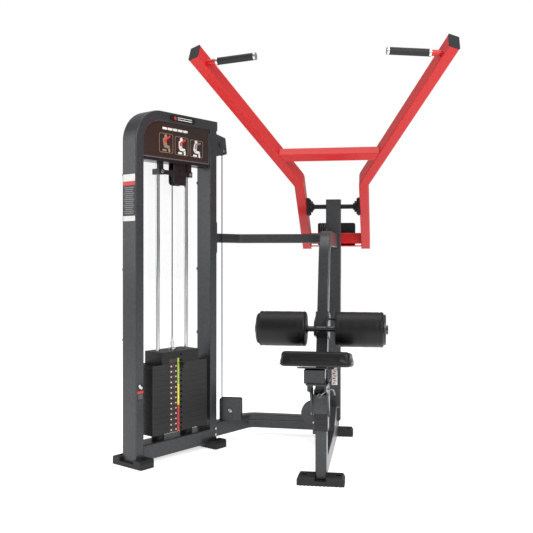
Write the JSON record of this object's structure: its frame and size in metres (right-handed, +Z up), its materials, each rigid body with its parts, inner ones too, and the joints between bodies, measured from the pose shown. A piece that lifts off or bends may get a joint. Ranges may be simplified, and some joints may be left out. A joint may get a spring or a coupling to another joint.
{
  "type": "lat pulldown machine",
  "caption": "Lever-arm lat pulldown machine with a weight tower, cable and pulleys, a padded seat, thigh rollers and an overhead swinging arm with two handles.",
  "frame": {"origin": "on the floor under the middle of the front foot of the seat frame", "axes": "+X to the right across the seat, +Y from the front foot to the main column, +Z up"},
  "size_m": [1.6219, 1.489, 1.964],
  "materials": {
    "frame_paint": "satin charcoal powder coat",
    "placard_print": "printed",
    "chrome_steel": "polished",
    "axle_steel": "blackened",
    "black_rubber": "moulded",
    "plate_paint": "satin",
    "black_vinyl": "satin vinyl",
    "black_plastic": "moulded",
    "cable_jacket": "smooth",
    "red_paint": "gloss powder coat",
    "zinc_steel": "plated",
    "clear_sheet": "clear"
  },
  "bodies": {
    "frame": {"tower_front_frame": "frame_paint", "tower_rear_upright": "frame_paint", "tower_base_beam": "frame_paint", "tower_feet": "black_rubber", "placard_panel": "placard_print", "guide_rods": "chrome_steel", "stack_bumpers": "black_rubber", "resting_plates": "plate_paint", "tower_pulley_cheeks": "frame_paint", "rod_crosshead": "frame_paint", "rear_pulley_bracket": "frame_paint", "cable_tower": "cable_jacket", "cable_floor": "cable_jacket", "left_pulley_box": "frame_paint", "right_pulley_housing": "frame_paint", "column_pulley_bracket": "frame_paint", "lower_link_beam": "frame_paint", "upper_link_beam": "frame_paint", "front_foot": "black_rubber", "rear_foot": "black_rubber", "front_post": "frame_paint", "base_beam": "frame_paint", "main_column": "frame_paint", "frame_bolts": "chrome_steel", "lever_axle": "axle_steel", "clear_shield": "clear_sheet", "shield_standoffs": "axle_steel"},
    "stack": {"lifted_plate": "plate_paint", "head_plate": "plate_paint", "selector_stem": "chrome_steel", "cable_stack": "cable_jacket"},
    "pin": {"selector_pin": "black_plastic"},
    "seat": {"seat_carriage": "frame_paint", "seat_bracket": "frame_paint", "seat_cushion": "black_vinyl"},
    "seat_release": {"seat_lever": "zinc_steel", "seat_lever_grip": "black_rubber"},
    "thigh": {"thigh_carriage": "frame_paint", "roller_shaft": "chrome_steel"},
    "left_pad": {"left_roller": "black_vinyl"},
    "right_pad": {"right_roller": "black_vinyl"},
    "pop_pin": {"thigh_pop_pin": "black_plastic"},
    "lever": {"left_lever_arm": "red_paint", "right_lever_arm": "red_paint", "arm_end_caps": "black_rubber", "handle_stubs": "red_paint", "handle_rings": "chrome_steel", "left_grip": "black_rubber", "right_grip": "black_rubber", "upper_crossbar": "red_paint", "lower_crossbar": "red_paint", "counterweight": "plate_paint", "cable_lug": "red_paint", "lever_bearings": "frame_paint", "cable_lever": "cable_jacket"},
    "tower_wheel": {"tower_pulley": "black_plastic"},
    "rear_wheel": {"rear_pulley": "black_plastic"},
    "left_wheel": {"left_pulley": "black_plastic"},
    "right_wheel": {"right_pulley": "black_plastic"},
    "column_wheel": {"column_pulley": "black_plastic"}
  },
  "joints": [
    {"name": "lever_pivot", "type": "hinge", "parent": "frame", "child": "lever", "pos_m": [0, 0.855, 1.281], "axis": [1, 0, 0], "range_deg": [0, 45], "deforming": ["cable_lever"]},
    {"name": "stack_lift", "type": "slide", "parent": "frame", "child": "stack", "axis": [0, 0, 1], "range_m": [0, 0.2], "deforming": ["cable_stack"]},
    {"name": "pin_pull", "type": "slide", "parent": "stack", "child": "pin", "axis": [0.8581, -0.5135, 0], "range_m": [0, 0.095]},
    {"name": "seat_height", "type": "slide", "parent": "frame", "child": "seat", "axis": [0, 0, 1], "range_m": [-0.085, 0]},
    {"name": "seat_release_turn", "type": "hinge", "parent": "seat", "child": "seat_release", "pos_m": [0, -0.075, 0.403], "axis": [0, 1, 0], "range_deg": [-18, 0], "stiffness_Nm_per_rad": 1, "springref_deg": 5.73},
    {"name": "thigh_pad_height", "type": "slide", "parent": "frame", "child": "thigh", "axis": [0, 0.3007, 0.9537], "range_m": [0, 0.15]},
    {"name": "left_pad_spin", "type": "hinge", "parent": "thigh", "child": "left_pad", "pos_m": [-0.17, 0, 0.6836], "axis": [1, 0, 0], "continuous": true},
    {"name": "right_pad_spin", "type": "hinge", "parent": "thigh", "child": "right_pad", "pos_m": [0.17, 0, 0.6836], "axis": [1, 0, 0], "continuous": true},
    {"name": "pop_pin_pull", "type": "slide", "parent": "thigh", "child": "pop_pin", "axis": [1, 0, 0], "range_m": [0, 0.012], "stiffness_N_per_m": 600, "springref_m": -0.004},
    {"name": "tower_wheel_spin", "type": "hinge", "parent": "frame", "child": "tower_wheel", "pos_m": [-0.76712, 0.40355, 1.428], "axis": [-0.8581, 0.5135, 0], "range_deg": [0, 315]},
    {"name": "rear_wheel_spin", "type": "hinge", "parent": "frame", "child": "rear_wheel", "pos_m": [-0.6146, 0.65839, 1.606], "axis": [-0.8581, 0.5135, 0], "range_deg": [0, 315]},
    {"name": "left_wheel_spin", "type": "hinge", "parent": "frame", "child": "left_wheel", "pos_m": [-0.546, 0.689, 0.172], "axis": [0, -1, 0], "range_deg": [0, 227]},
    {"name": "right_wheel_spin", "type": "hinge", "parent": "frame", "child": "right_wheel", "pos_m": [-0.099, 0.689, 0.172], "axis": [0, -1, 0], "range_deg": [0, 227]},
    {"name": "column_wheel_spin", "type": "hinge", "parent": "frame", "child": "column_wheel", "pos_m": [-0.049, 0.739, 1.13], "axis": [-1, 0, 0], "range_deg": [0, 227]}
  ],
  "couplings": [
    {"joint": "stack_lift", "follows": "lever_pivot", "m_per_rad": 0.25},
    {"joint": "tower_wheel_spin", "follows": "lever_pivot", "ratio": 6.9444},
    {"joint": "rear_wheel_spin", "follows": "lever_pivot", "ratio": 6.9444},
    {"joint": "left_wheel_spin", "follows": "lever_pivot", "ratio": 5},
    {"joint": "right_wheel_spin", "follows": "lever_pivot", "ratio": 5},
    {"joint": "column_wheel_spin", "follows": "lever_pivot", "ratio": 5}
  ]
}
